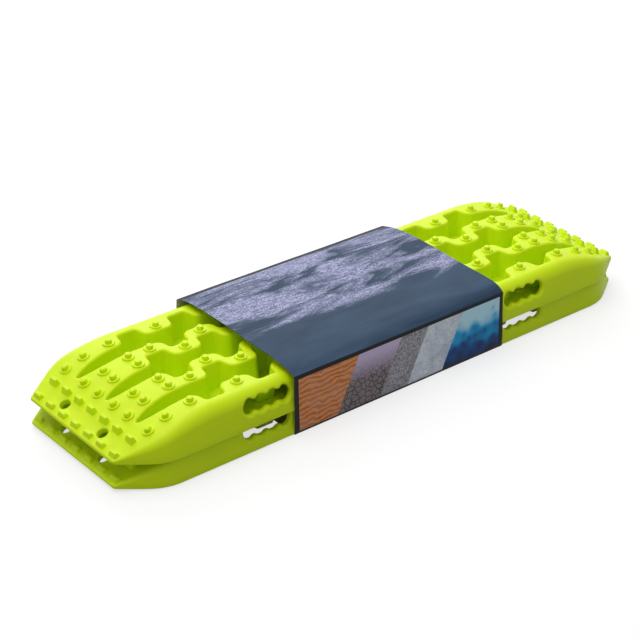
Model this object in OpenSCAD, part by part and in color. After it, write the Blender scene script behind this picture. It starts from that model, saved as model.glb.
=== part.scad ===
/* [Board] */
// Length of a board from tip to tip
board_l = 1060; // [1000:10:1160]
// Width of a board across its rims
board_w = 305; // [300:1:330]
// Height of the deck above the rim
deck_h = 57; // [54:1:64]
// Wall thickness, measured across the board
wall_t = 4.2; // [3.8:0.1:4.6]
// Lean of the channel walls from upright, in degrees
draft = 5.7; // [5:0.1:6.5]
// Gap between the walls of two nested boards
nest_gap = 0.08; // [0.05:0.01:0.3]

/* [Sides] */
// Lean of the long side walls from upright, in degrees
side_draft = 11; // [6:1:14]
// Radius of the rounded shoulder along each long side
shoulder_r = 24; // [18:1:26]

/* [Ends] */
// Length of the curved ramp at each end
ramp_l = 166; // [154:1:180]
// Slope of the straight lower part of a ramp, in degrees
ramp_a = 23.5; // [21:0.5:26]
// Height of a tip's underside above the rim
tip_rise = 4.5; // [2:0.5:6]
// Thickness of a tip's edge
tip_t = 4; // [3:0.5:6]
// Length over which the outline narrows towards a tip
taper_l = 93; // [88:1:110]
// Radius where the outline starts to narrow
taper_r = 94; // [80:1:100]
// Width across the two corners of a tip
tip_w = 230; // [220:2:240]
// Radius of a tip's corners in plan
tip_r = 7; // [5:1:12]
// Solid lip left along a tip
tip_lip = 8; // [6:1:10]

/* [Channels] */
// Width of one lane: ridges and channels are whole lanes wide
lane = 26; // [25.5:0.1:26.5]
// Height of the channel floors above the rim
floor_h = 10; // [8:0.5:14]
// Distance from a tip to the first jog
first_jog = 157; // [153:1:164]
// Distance from one jog to the next
jog_pitch = 48.3; // [46:0.1:52]
// Lead of one edge of a ridge over its other edge in a jog
jog_lead = 4.5; // [3:0.5:5]
// Turn of a ridge's edges in a jog, in degrees
jog_a = 78; // [66:1:80]
// Radius of a ridge's round lobes at the deck
lobe_r = 15; // [13:0.5:16]
// Radius of a ridge's inner corners at the channel floor
corner_r = 1; // [0.8:0.1:3]
// Distance from a tip to a channel's point
channel_end = 62; // [58:1:70]
// Length of a channel's pointed end
bow_l = 68; // [60:1:76]

/* [Studs] */
// Diameter of a stud's pin
stud_d = 10; // [9:0.5:13]
// Height of a stud above the deck
stud_h = 8; // [7:0.2:13]
// Diameter of the disc round a stud
disc_d = 20; // [18:0.5:24]
// Height of the disc above the deck
disc_h = 2.4; // [1:0.2:3]
// Width of the ring groove between disc and pin
groove_w = 1.2; // [1:0.2:2]
// Distance from a tip to the first three rows of studs
stud_rows = [64, 96, 141.5];
// Outward shift of the side studs in those rows
stud_shift = [4.5, 3.5, 1.5];
// Half the spacing of a stud pair in the first row
stud_spread = 18.5; // [17:0.5:20]
// Stretches between two jogs that carry studs, counted from the tip
stud_stretches = [0, 1, 2, 4];

/* [Cleats] */
// Number of cleats across a ramp
cleat_n = 7; // [5:2:7]
// Spacing of the cleats across a ramp
cleat_pitch = 33; // [31:0.5:33.5]
// Distance from a tip to the two rows of cleats
cleat_rows = [9, 37];
// Width of a cleat at its foot
cleat_w = 17; // [14:0.5:22]
// Thickness of a cleat at its foot
cleat_t = 10.5; // [8:0.5:11]
// Height of a cleat's level top above the ramp at its middle
cleat_h = 7; // [5:0.5:10]
// Slant of a cleat's flanks, as the loss on each side
cleat_slant = 1.4; // [1:0.2:2.6]

/* [Handles] */
// Distance from the middle of the board to a handle's middle
handle_x = 273; // [255:1:285]
// Length of a handle slot
slot_l = 90; // [84:1:100]
// Height of a handle slot
slot_h = 26; // [24:0.5:28]
// Height of a slot's middle above the rim
slot_z = 33; // [30:0.5:34]
// Number of finger rests on each edge of a slot
grip_n = 3; // [2:1:3]
// Spacing of the finger rests
grip_pitch = 22; // [20:0.5:24]
// Radius of a finger rest
grip_r = 9; // [7:0.5:10]
// Depth of a finger rest into the slot
grip_depth = 4; // [2:0.5:5]

/* [Tie holes] */
// Diameter of the tie-down holes in the ramps
hole_d = 18; // [14:1:18]
// Distance from a tip to the holes
hole_end = 23; // [22:0.5:24]
// Spacing of the two holes in a ramp
hole_gap = 99; // [97:0.5:101]

/* [Grip pads] */
// Diameter of a grip pad under a channel floor
pad_d = 12; // [8:0.5:14]
// Diameter of a grip pad's foot
pad_tip_d = 8; // [5:0.5:8]
// Height of the grip pads' feet above the rim
pad_lift = 0.5; // [0.3:0.1:1.5]

/* [Sleeve] */
// Length of the card sleeve
sleeve_l = 446; // [400:1:480]
// Offset of the sleeve from the middle of the boards
sleeve_x = -2; // [-20:1:20]
// Thickness of the card
card_t = 0.8; // [0.5:0.1:1.5]
// Clearance between the card and the boards
card_gap = 0.4; // [0.3:0.1:1]
// Room between the studs and the top panel
top_gap = 5.1; // [0.5:0.1:8]
// Depth of the side creases below the top of the sleeve
crease_drop = 11; // [6:0.5:14]
// Width of each bent margin of the top panel
crease_w = 44; // [36:1:48]

/* [Hidden] */
$fn = 64;

half_l = board_l / 2;
half_w = board_w / 2;
eps = 0.35;
over = 15;
tan_d = tan(draft);
nest_pitch = (wall_t + nest_gap) / tan_d;
stand_z = card_t + card_gap;
stack_top = stand_z + nest_pitch + deck_h + stud_h;

// Side view of a ramp: an arc that leaves the deck level, then a straight run to the tip
ramp_x = half_l - ramp_l;
ramp_drop = deck_h - tip_rise - tip_t;
flat_l = (ramp_drop - ramp_l * tan(ramp_a / 2)) / (tan(ramp_a) - tan(ramp_a / 2));
bend_l = ramp_l - flat_l;
ramp_r = bend_l / sin(ramp_a);
function ramp_run(x) = max(0, abs(x) - ramp_x);
function ramp_slope(x) = asin(min(ramp_run(x), bend_l) / ramp_r);
function ramp_z(x) = deck_h - ramp_r * (1 - cos(ramp_slope(x)))
    - max(0, ramp_run(x) - bend_l) * tan(ramp_a);

// Plan view: the straight side, a large arc, a tangent line and the tip's corner
arc_c = [half_l - taper_l, half_w - taper_r];
tip_c = [half_l - tip_r, tip_w / 2 - tip_r];
tip_d = tip_c - arc_c;
tangent_a = atan2(tip_d[1], tip_d[0]) + acos((taper_r - tip_r) / norm(tip_d));
tangent_n = [cos(tangent_a), sin(tangent_a)];
arc_end = arc_c + taper_r * tangent_n;
tip_start = tip_c + tip_r * tangent_n;
function plan_y(x) =
    let(a = min(abs(x), half_l))
    a <= arc_c[0] ? half_w :
    a <= arc_end[0] ? arc_c[1] + sqrt(pow(taper_r, 2) - pow(a - arc_c[0], 2)) :
    a <= tip_start[0] ? arc_end[1] + (a - arc_end[0]) * (tip_start[1] - arc_end[1]) / (tip_start[0] - arc_end[0]) :
    tip_c[1] + sqrt(max(0, pow(tip_r, 2) - pow(a - tip_c[0], 2)));

// Height of the rim, which lifts towards a tip
function rim_z(x) = tip_rise * pow(max(0, abs(x) - arc_c[0]) / taper_l, 2);

// Places along the board where its outer form needs a section
bend_steps = 7;
flat_steps = 3;
corner_steps = 3;
flat_x = ramp_x + bend_l;
form_x = concat(
    [for (i = [0:bend_steps]) ramp_x + bend_l * i / bend_steps],
    [for (i = [1:flat_steps]) flat_x + (tip_start[0] - flat_x) * i / flat_steps],
    [for (i = [1:corner_steps])
        half_l - (half_l - tip_start[0]) * (1 - sin(90 * i / corner_steps))]);
function mirrored(list) = concat([for (i = [len(list) - 1:-1:0]) -list[i]], list);

// Half of a section: side wall, rounded shoulder and deck edge
shoulder_steps = 4;
shoulder_share = 0.42;
function half_section(hw, foot, top, r) =
    let(zc = top - r, yc = hw - (r + zc * sin(side_draft)) / cos(side_draft))
    concat([[hw - foot * tan(side_draft), foot]],
        [for (i = [0:shoulder_steps])
            let(a = side_draft + (90 - side_draft) * i / shoulder_steps)
            [yc + r * cos(a), zc + r * sin(a)]]);
function section(x, half) = concat(
    [for (p = half) [x, p[0], p[1]]],
    [for (i = [len(half) - 1:-1:0]) [x, -half[i][0], half[i][1]]]);
function shoulder(x) = min(shoulder_r, shoulder_share * (ramp_z(x) - rim_z(x)));
function outer_section(x) = section(x, half_section(plan_y(x), rim_z(x), ramp_z(x), shoulder(x)));
function inner_section(x) =
    let(hw = plan_y(min(abs(x) + wall_t, half_l)) - wall_t / cos(side_draft),
        top = ramp_z(x) - wall_t / cos(ramp_slope(x)))
    section(x, half_section(hw, -1, top, max(1, shoulder(x) - wall_t)));

// Channels: their edges change lanes at every jog, round a lobe and an inner corner of a ridge
deep_r = corner_r + (deck_h - floor_h) * tan_d;
jog_run = (lane - (lobe_r + deep_r) * (1 - cos(jog_a))) / sin(jog_a);
jog_l = (lobe_r + deep_r) * sin(jog_a) + jog_run * cos(jog_a);
jog_mid = lobe_r * sin(jog_a) + (lane / 2 - lobe_r * (1 - cos(jog_a))) / tan(jog_a);
// Steps through one jog from the lobe's side: run along the board, run across it and turn
jog_steps = concat(
    [for (i = [0:3]) let(t = jog_a * i / 3) [lobe_r * sin(t) - jog_mid, lobe_r * (1 - cos(t)), t]],
    [for (i = [2:-1:0]) let(t = jog_a * i / 2)
        [jog_l - deep_r * sin(t) - jog_mid, lane - deep_r * (1 - cos(t)), t]]);
jog_n = floor((half_l - first_jog - jog_l / 2 - jog_lead) / jog_pitch) + 1;
function jog_x(k) = half_l - first_jog - k * jog_pitch;
function swap(k) = k % 2 == 0 ? 1 : -1;

// One edge from the middle of the board outwards: x, y, and the way out of the channel.
// The ridge beside it lies on the side given by s, and its lobes keep to the lane line y.
function edge_jog(k, y, s) =
    let(up = s * swap(k), c = jog_x(k) - up * jog_lead)
    [for (i = [0:6]) let(p = jog_steps[up > 0 ? 6 - i : i])
        [c - up * p[0], y + s * p[1], up * sin(p[2]), s * cos(p[2])]];
function edge(y, s, first) =
    [for (k = [jog_n - 1:-1:first]) each edge_jog(k, y, s)];
mid_edge = edge(0.5 * lane, 1, 0);
side_inner = edge(2.5 * lane, -1, 1);
side_outer = edge(3.5 * lane, 1, 0);

// An edge moved out of its channel by a wall of thickness t, at its foot and above the deck
function foot_d(t) = t - (deck_h - floor_h + t) * tan_d;
function top_d(t) = t + over * tan_d;
function moved(list, d, z) = [for (p = list) [p[0] + d * p[2], p[1] + d * p[3], z]];

// The pointed end of a channel, h wide each side of its middle line c and grown by t
bow_x = half_l - channel_end - bow_l;
bow_angles = [22, 43, 60, 73, 83, 90];
function bow_share(a, t) = max(eps, (lane / 2 + t) * cos(a));
function bow_foot(a, t) = max(floor_h - t, deck_h - (bow_share(a, t) - eps / 2) / tan_d);
function bow(c, s, t, top) = [for (a = concat([0], bow_angles))
    let(z = top ? deck_h + over : bow_foot(a, t))
    [bow_x + (bow_l + t) * sin(a), c + s * (bow_share(a, t) - (deck_h - z) * tan_d), z]];

// Half of one channel edge, from just past the middle of the board to its tip
half_lap = 1;
function line(list, c, s, t, top) =
    let(half = concat(moved(list, top ? top_d(t) : foot_d(t), top ? deck_h + over : floor_h - t),
        bow(c, s, t, top)))
    concat([[-half_lap, half[0][1], half[0][2]]], half);

// Triangles between two lines of points, low and high, taken in the order of their x
function before(list, x, equal) = len([for (p = list) if (p[0] < x || equal && p[0] == x) 1]) - 1;
function ladder(low, high, i, j) = concat(
    [for (k = [0:len(low) - 2]) [i + k, i + k + 1, j + before(high, low[k + 1][0], false)]],
    [for (k = [0:len(high) - 2]) [j + k + 1, j + k, i + before(low, high[k + 1][0], true)]]);
function flipped(faces) = [for (f = faces) [f[0], f[2], f[1]]];

// Half of a channel's space between two edges, each of any number of steps
module half_channel(low, low_top, high, high_top) {
    n = len(low);
    m = len(high);
    polyhedron(
        points = concat(low, low_top, high, high_top),
        faces = concat(
            [for (i = [0:n - 2]) each [[i, n + i, i + 1], [i + 1, n + i, n + i + 1]]],
            [for (i = [2 * n:2 * n + m - 2]) each [[i, i + 1, m + i], [i + 1, m + i + 1, m + i]]],
            ladder(low, high, 0, 2 * n),
            flipped(ladder(low_top, high_top, n, 2 * n + m)),
            [[0, 2 * n, 2 * n + m, n], [n - 1, 2 * n - 1, 2 * n + 2 * m - 1, 2 * n + m - 1]]));
}

module loft(sections) {
    m = len(sections[0]);
    n = len(sections);
    polyhedron(
        points = [for (s = sections) for (p = s) p],
        faces = concat(
            [[for (j = [0:m - 1]) j]],
            [for (i = [0:n - 2]) for (j = [0:m - 1])
                let(a = i * m + j, b = i * m + (j + 1) % m) each [[a, a + m, b], [b, a + m, b + m]]],
            [[for (j = [m - 1:-1:0]) (n - 1) * m + j]]));
}

module outer_form() loft([for (x = mirrored(form_x)) outer_section(x)]);

module inner_form() loft([for (x = mirrored([for (v = form_x) v * (half_l - tip_lip) / half_l])) inner_section(x)]);

module troughs(t) {
    function across(list) = [for (p = list) [p[0], -p[1], p[2]]];
    side = 3 * lane;
    mid = line(mid_edge, 0, 1, t, false);
    mid_top = line(mid_edge, 0, 1, t, true);
    for (x = [0, 1]) mirror([x, 0, 0]) {
        half_channel(across(mid), across(mid_top), mid, mid_top);
        for (y = [0, 1]) mirror([0, y, 0])
            half_channel(line(side_inner, side, -1, t, false), line(side_inner, side, -1, t, true),
                line(side_outer, side, 1, t, false), line(side_outer, side, 1, t, true));
    }
}

module shell() {
    difference() {
        outer_form();
        difference() {
            inner_form();
            troughs(wall_t);
        }
        troughs(0);
    }
}

// One stud: a disc with a ring groove and a pin with a bevelled end
stud_sink = 2;
pin_bevel = 1.5;
groove_floor = 1;
module stud() {
    pin_r = stud_d / 2;
    rotate_extrude() polygon([
        [0, -stud_sink], [disc_d / 2, -stud_sink], [disc_d / 2, disc_h],
        [pin_r + groove_w, disc_h], [pin_r + groove_w, groove_floor], [pin_r, groove_floor],
        [pin_r, stud_h - pin_bevel], [pin_r - pin_bevel, stud_h], [0, stud_h]]);
}

// Places a child square to the surface at x, y and in the three mirrored places
module on_ramp(x, y) {
    for (sx = [-1, 1]) for (sy = [-1, 1])
        translate([sx * x, sy * y, ramp_z(x)]) rotate([0, sx * ramp_slope(x), 0]) children();
}

ridge_mid = 1.5 * lane;
side_lane = 4 * lane;
function stretch_x(k) = (jog_x(k) + jog_x(k + 1)) / 2;
module studs() {
    for (i = [0:len(stud_rows) - 1]) {
        x = half_l - stud_rows[i];
        spread = i == 0 ? stud_spread : lane / 2;
        for (y = [ridge_mid - spread, ridge_mid + spread, side_lane + stud_shift[i]]) on_ramp(x, y) stud();
    }
    for (k = stud_stretches) {
        for (y = k % 2 == 0 ? [2 * lane] : [lane, side_lane]) on_ramp(stretch_x(k), y) stud();
    }
    for (s = [-1, 1])
        translate([0, s * lane * (1 + jog_n % 2), deck_h]) stud();
}

// One cleat: a block with a level top and slanted flanks
cleat_sink = 3;
module cleat(x, y) {
    function ring(lift, loss) = [for (c = [[-1, -1], [1, -1], [1, 1], [-1, 1]])
        [x + c[0] * (cleat_t / 2 - loss), y + c[1] * (cleat_w / 2 - loss),
            lift > 0 ? ramp_z(x) + lift : ramp_z(x + c[0] * (cleat_t / 2 - loss)) + lift]];
    flare = cleat_slant * cleat_sink / cleat_h;
    polyhedron(
        points = concat(ring(-cleat_sink, -flare), ring(cleat_h, cleat_slant)),
        faces = [[0, 1, 2, 3], [7, 6, 5, 4], [0, 4, 5, 1], [1, 5, 6, 2], [2, 6, 7, 3], [3, 7, 4, 0]]);
}

module cleats() {
    last = (cleat_n - 1) / 2;
    for (r = cleat_rows) for (i = [-last:last]) for (s = [-1, 1])
        mirror([s < 0 ? 1 : 0, 0, 0]) cleat(half_l - r, i * cleat_pitch);
}

// Feet under the floors of the two outer channels
pad_sink = 2;
module grip_pad(x, y) {
    for (s = [-1, 1])
        translate([x, s * y, pad_lift])
            cylinder(d1 = pad_tip_d, d2 = pad_d, h = floor_h - wall_t - pad_lift + pad_sink);
}

pad_end = 20;
module grip_pads() {
    grip_pad(0, lane * (3 + swap(jog_n - 1) / 2));
    for (s = [-1, 1]) {
        grip_pad(s * (bow_x + pad_end), 3 * lane);
        for (k = [0:jog_n - 2]) grip_pad(s * stretch_x(k), lane * (3 + swap(k) / 2));
    }
}

// Outline of a handle slot with finger rests on its long edges
module slot_outline() {
    difference() {
        union() {
            square([slot_l - slot_h, slot_h], center = true);
            for (s = [-1, 1]) translate([s * (slot_l - slot_h) / 2, 0]) circle(d = slot_h);
        }
        for (i = [0:grip_n - 1]) for (s = [-1, 1])
            translate([(i - (grip_n - 1) / 2) * grip_pitch, s * (slot_h / 2 + grip_r - grip_depth)])
                circle(grip_r);
    }
}

slot_in = 4.5 * lane + wall_t + 1;
module handle_slots() {
    for (sx = [-1, 1]) for (sy = [-1, 1])
        translate([sx * handle_x, sy > 0 ? half_w + 1 : -slot_in, slot_z])
            rotate([90, 0, 0]) linear_extrude(half_w + 1 - slot_in) slot_outline();
}

module tie_holes() {
    on_ramp(half_l - hole_end, hole_gap / 2) cylinder(d = hole_d, h = 2 * over, center = true);
}

module board() {
    difference() {
        union() {
            shell();
            studs();
            cleats();
            grip_pads();
        }
        handle_slots();
        tie_holes();
    }
}

module lower_board() {
    color("greenyellow") translate([0, 0, stand_z]) board();
}

module upper_board() {
    color("greenyellow") translate([0, 0, stand_z + nest_pitch]) board();
}

// Section of the sleeve, hw wide each side and with r at the bent margins of its top
sleeve_hw = half_w + card_gap + card_t;
sleeve_top = stack_top + top_gap + card_t;
margin_y = sleeve_hw - crease_w;
margin_r = (crease_w * crease_w + crease_drop * crease_drop) / (2 * crease_drop);
margin_z = sleeve_top - margin_r;
module sleeve_section(hw, r, foot) {
    crease_z = margin_z + sqrt(r * r - pow(hw - margin_y, 2));
    polygon([[-hw, foot], [hw, foot], [hw, crease_z], [margin_y, margin_z + r],
        [-margin_y, margin_z + r], [-hw, crease_z]]);
    for (s = [-1, 1]) intersection() {
        translate([s * margin_y, margin_z]) circle(r, $fn = 128);
        translate([s > 0 ? margin_y : -hw, stand_z]) square([hw - margin_y, sleeve_top]);
    }
}

module card_sleeve() {
    color("slategray") translate([sleeve_x - sleeve_l / 2, 0, 0])
        rotate([90, 0, 90]) linear_extrude(sleeve_l) difference() {
            sleeve_section(sleeve_hw, margin_r, 0);
            sleeve_section(sleeve_hw - card_t, margin_r - card_t, card_t);
        }
}

lower_board();
upper_board();
card_sleeve();
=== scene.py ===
"""Looks of a nested pair of moulded recovery boards in a printed card sleeve.

A board is a shell of stacked sections. Studs, cleats, collars and pads are joined to it, and slots and
holes are cut from it. Lengths are in millimetres until a mesh is finished, and in metres from then on.
"""
import math

import bmesh
import bpy
import numpy as np
from mathutils import Matrix, Vector


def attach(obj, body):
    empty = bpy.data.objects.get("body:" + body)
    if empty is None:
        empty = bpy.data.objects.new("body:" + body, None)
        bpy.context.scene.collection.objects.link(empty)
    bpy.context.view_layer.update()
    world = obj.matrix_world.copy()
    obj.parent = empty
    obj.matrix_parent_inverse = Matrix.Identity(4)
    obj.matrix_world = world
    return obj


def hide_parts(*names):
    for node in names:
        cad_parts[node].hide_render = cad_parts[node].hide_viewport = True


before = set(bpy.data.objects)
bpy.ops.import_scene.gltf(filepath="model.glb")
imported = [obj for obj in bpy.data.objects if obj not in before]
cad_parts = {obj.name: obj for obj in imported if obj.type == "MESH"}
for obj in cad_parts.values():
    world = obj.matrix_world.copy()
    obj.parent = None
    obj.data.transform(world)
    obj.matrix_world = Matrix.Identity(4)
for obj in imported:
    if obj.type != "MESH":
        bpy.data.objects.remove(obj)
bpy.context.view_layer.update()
scene = bpy.context.scene
MM = 0.001

# Board, as the CAD has it: half length, half width at the rim, height of the deck, wall
HALF_L, HALF_W, DECK, WALL = 530.0, 152.5, 57.0, 4.2
# Draft of the channel walls, gap between nested walls and the nesting pitch that follows from both
DRAFT = math.tan(math.radians(5.7))
NEST_GAP = 0.08
NEST = (WALL + NEST_GAP) / DRAFT
# Height of the lower board's rim over the ground, with the card under it
STAND = 1.2
# Sides: lean, radius of the shoulder and its largest share of the side's height
SIDE = math.radians(11)
SHOULDER, SHOULDER_SHARE = 24.0, 0.42
# Ramp: length, and angle at the tip
RAMP_L, RAMP_A = 166.0, math.radians(23.5)
# Tip: rise of its rim, thickness, width, corner radius and length of its solid lip
TIP_RISE, TIP_T, TIP_W, TIP_R, TIP_LIP = 4.5, 4.0, 230.0, 7.0, 8.0
# Taper of the plan towards the tip: length and radius
TAPER_L, TAPER_R = 93.0, 94.0
# Channels: width of a lane, height of the floor
LANE, FLOOR = 26.0, 10.0
# Jogs of the channels: first one from the tip, pitch, shift of each edge, count in half a board
FIRST_JOG, JOG_PITCH, JOG_LEAD, JOGS = 157.0, 48.3, 4.5, 8
# Slant of a jog, radius of a ridge's lobe and of its inner corner
JOG_A, LOBE_R, CORNER_R = math.radians(78), 15.0, 1.0
# Channel ends: distance from the tip, and length of the pointed bow
CHANNEL_END, BOW_L = 62.0, 68.0

# Ramp: an arc that leaves the deck level, then a straight run
RAMP_X = HALF_L - RAMP_L
DROP = DECK - TIP_RISE - TIP_T
FLAT_L = (DROP - RAMP_L * math.tan(RAMP_A / 2)) / (math.tan(RAMP_A) - math.tan(RAMP_A / 2))
BEND_L = RAMP_L - FLAT_L
RAMP_R = BEND_L / math.sin(RAMP_A)


def ramp_slope(x):
    """Angle of the deck or ramp at x."""
    return math.asin(min(max(0.0, abs(x) - RAMP_X), BEND_L) / RAMP_R)


def ramp_z(x):
    """Height of the deck or ramp at x."""
    run = max(0.0, abs(x) - RAMP_X)
    bend = RAMP_R * (1 - math.cos(ramp_slope(x)))
    return DECK - bend - max(0.0, run - BEND_L) * math.tan(RAMP_A)


# Plan: straight side, large arc, tangent line, tip corner
ARC_C = (HALF_L - TAPER_L, HALF_W - TAPER_R)
TIP_C = (HALF_L - TIP_R, TIP_W / 2 - TIP_R)
APART = (TIP_C[0] - ARC_C[0], TIP_C[1] - ARC_C[1])
TANGENT_A = math.atan2(APART[1], APART[0]) + math.acos((TAPER_R - TIP_R) / math.hypot(*APART))
ARC_END = (ARC_C[0] + TAPER_R * math.cos(TANGENT_A), ARC_C[1] + TAPER_R * math.sin(TANGENT_A))
TIP_START = (TIP_C[0] + TIP_R * math.cos(TANGENT_A), TIP_C[1] + TIP_R * math.sin(TANGENT_A))


def plan_y(x):
    """Half width of the plan at x."""
    a = min(abs(x), HALF_L)
    if a <= ARC_C[0]:
        return HALF_W
    if a <= ARC_END[0]:
        return ARC_C[1] + math.sqrt(TAPER_R ** 2 - (a - ARC_C[0]) ** 2)
    if a <= TIP_START[0]:
        k = (a - ARC_END[0]) / (TIP_START[0] - ARC_END[0])
        return ARC_END[1] + k * (TIP_START[1] - ARC_END[1])
    return TIP_C[1] + math.sqrt(max(0.0, TIP_R ** 2 - (a - TIP_C[0]) ** 2))


def rim_z(x):
    """Height of the rim at x, which lifts towards the tip."""
    return TIP_RISE * (max(0.0, abs(x) - ARC_C[0]) / TAPER_L) ** 2


def shoulder(x):
    """Radius of the shoulder at x."""
    return min(SHOULDER, SHOULDER_SHARE * (ramp_z(x) - rim_z(x)))


# Channels: their edges change lanes at every jog, round a lobe and an inner corner of a ridge
DEEP_R = CORNER_R + (DECK - FLOOR) * DRAFT
JOG_RUN = (LANE - (LOBE_R + DEEP_R) * (1 - math.cos(JOG_A))) / math.sin(JOG_A)
JOG_L = (LOBE_R + DEEP_R) * math.sin(JOG_A) + JOG_RUN * math.cos(JOG_A)
JOG_MID = LOBE_R * math.sin(JOG_A) + (LANE / 2 - LOBE_R * (1 - math.cos(JOG_A))) / math.tan(JOG_A)
LOBE_N, CORNER_N = 9, 4
# Steps (run from the jog's middle, shift across, turn) from the lobe to the inner corner
JOG_STEPS = [(LOBE_R * math.sin(a) - JOG_MID, LOBE_R * (1 - math.cos(a)), a)
             for a in (JOG_A * i / (LOBE_N - 1) for i in range(LOBE_N))]
JOG_STEPS += [(JOG_L - DEEP_R * math.sin(a) - JOG_MID, LANE - DEEP_R * (1 - math.cos(a)), a)
              for a in (JOG_A * i / (CORNER_N - 1) for i in reversed(range(CORNER_N)))]
# Distances of the edges and of the side channel from the middle; each edge has its ridge on one side
MID_LINE, INNER_LINE, OUTER_LINE, SIDE_LINE = 0.5 * LANE, 2.5 * LANE, 3.5 * LANE, 3.0 * LANE
EDGES = ((MID_LINE, 1), (INNER_LINE, -1), (OUTER_LINE, 1))
BOW_X = HALF_L - CHANNEL_END - BOW_L
# Sections along the bow, the ramp's bend, its straight run and the tip corner
BOW_N, BEND_N, FLAT_N, TIP_N = 24, 12, 9, 6
# Least distance between two of those sections, and between one and the lip
ROW_GAP, LIP_GAP = 0.25, 1.0


def jog_x(k):
    """Middle of jog k, counted from the tip."""
    return HALF_L - FIRST_JOG - k * JOG_PITCH


def swap(k):
    """The way in which the channels change lanes at jog k."""
    return 1 if k % 2 == 0 else -1


def edge_jog(k, y, side):
    """Steps (x, y, normal) of one edge through jog k, outwards; its ridge lies on the given side."""
    up = side * swap(k)
    centre = jog_x(k) - up * JOG_LEAD
    steps = reversed(JOG_STEPS) if up > 0 else JOG_STEPS
    return [(centre - up * run, y + side * across, up * math.sin(a), side * math.cos(a))
            for run, across, a in steps]


def straight_row(x):
    """Steps of the three edges at x, where they run lengthwise."""
    return [(x, line, 0.0, float(side)) for line, side in EDGES]


def bow_share(x, wall):
    """Share of a channel's width that is left at x in its pointed end."""
    u = (abs(x) - BOW_X) / (BOW_L + wall)
    return 1.0 if u <= 0 else math.sqrt(max(0.0, 1 - u * u))


def end_sections():
    """Places of the sections from the bow to the tip."""
    xs = {BOW_X}
    for i in range(1, BOW_N + 1):
        xs.add(round(BOW_X + (BOW_L + WALL) * math.sin(math.pi / 2 * i / BOW_N), 3))
    for i in range(1, BEND_N + 1):
        xs.add(round(RAMP_X + BEND_L * i / BEND_N, 3))
    for i in range(1, FLAT_N + 1):
        xs.add(round(RAMP_X + BEND_L + (TIP_START[0] - RAMP_X - BEND_L) * i / FLAT_N, 3))
    for i in range(1, TIP_N + 1):
        xs.add(round(HALF_L - (HALF_L - TIP_START[0]) * (1 - math.sin(math.pi / 2 * i / TIP_N)), 3))
    return sorted(xs)


def edge_rows():
    """Rows of three steps, one on each edge of half a board, from its middle to its tip."""
    start = [edge_jog(JOGS - 1, line, side)[0] for line, side in EDGES]
    rows = [[(0.0,) + step[1:] for step in start]]
    for k in reversed(range(JOGS)):
        mid, outer = edge_jog(k, MID_LINE, 1), edge_jog(k, OUTER_LINE, 1)
        # At the jog nearest the tip the inner edge runs straight on
        inner = edge_jog(k, INNER_LINE, -1) if k else [(step[0], INNER_LINE, 0.0, -1.0) for step in mid]
        rows += [list(row) for row in zip(mid, inner, outer)]
    last = BOW_X - 1
    for x in end_sections():
        if x - last > ROW_GAP and abs(x - HALF_L + TIP_LIP) > LIP_GAP:
            rows.append(straight_row(x))
            last = x
    return rows


# Rounded corners: shortest side and widest half angle that are rounded, largest share of a side
SHORTEST, WIDEST, SIDE_SHARE = 1e-4, math.radians(88), 0.47


def corner_arc(p, before, after, radius, count):
    """Points round the corner p, or p itself where its sides are too short or too straight."""
    len_before, len_after = before.length, after.length
    if min(len_before, len_after) < SHORTEST:
        return [p.copy() for _ in range(count)]
    before /= len_before
    after /= len_after
    half = math.acos(max(-1, min(1, before.dot(after)))) / 2
    if half > WIDEST:
        return [p.copy() for _ in range(count)]
    reach = min(radius / math.tan(half), SIDE_SHARE * len_before, SIDE_SHARE * len_after)
    centre = p + (before + after).normalized() * (reach * math.tan(half) / math.sin(half))
    start = p + before * reach - centre
    end = p + after * reach - centre
    whole = start.angle_signed(end) if min(start.length, end.length) > 1e-9 else 0
    out = []
    for j in range(count):
        turn = -whole * j / (count - 1)
        out.append(centre + Vector((start.x * math.cos(turn) - start.y * math.sin(turn),
                                    start.x * math.sin(turn) + start.y * math.cos(turn))))
    return out


def rounded(corners):
    """Points along a polyline with rounded corners (y, z, radius, count).

    Each corner gives its count of points, rounded or not, so that all sections match.
    """
    out = []
    for i, (y, z, radius, count) in enumerate(corners):
        p = Vector((y, z))
        if radius <= 0 or i in (0, len(corners) - 1):
            out += [p.copy() for _ in range(count)]
        else:
            before = Vector(corners[i - 1][:2]) - p
            after = Vector(corners[i + 1][:2]) - p
            out += corner_arc(p, before, after, radius, count)
    return out


# Fillets at the top of a channel wall, at its foot, under its top, and round the tip's upper edge
TOP_FILLET, FLOOR_FILLET, UNDER_FILLET, TIP_ROUND = 4.6, 0.8, 2.0, 1.6
# Points round the shoulder, the top of a wall and its foot
ARC_N, TOP_N, FOOT_N = 8, 7, 4
# Length of floor and deck that the fillets of a wall may take up
REACH = 8.0
# Half width that a bow's floor keeps, and the least width or height of a wall in the bow
BOW_FLOOR, LEAST = 0.17, 0.05
# Half distance between the two middle points of a side channel's floor
SEAM = 0.5
# Least radius of the shoulder's inside, height of the rim band, rounding of the rim outside and inside
LEAST_SHOULDER, RIM_BAND, RIM_OUT, RIM_IN = 1.0, 9.0, 1.0, 0.8
# Length over which the shell turns solid at the lip, and inset of the lip's lower edge
LIP_STEP, LIP_EDGE = 0.02, 2.0


def surface_z(x, wall):
    """Height of the deck or ramp at x, or of its underside for a wall."""
    if wall:
        return ramp_z(x) - wall / math.cos(ramp_slope(x))
    edge = max(0.0, abs(x) - (HALF_L - TIP_ROUND))
    return ramp_z(x) - (TIP_ROUND - math.sqrt(max(0.0, TIP_ROUND ** 2 - edge ** 2)))


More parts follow.
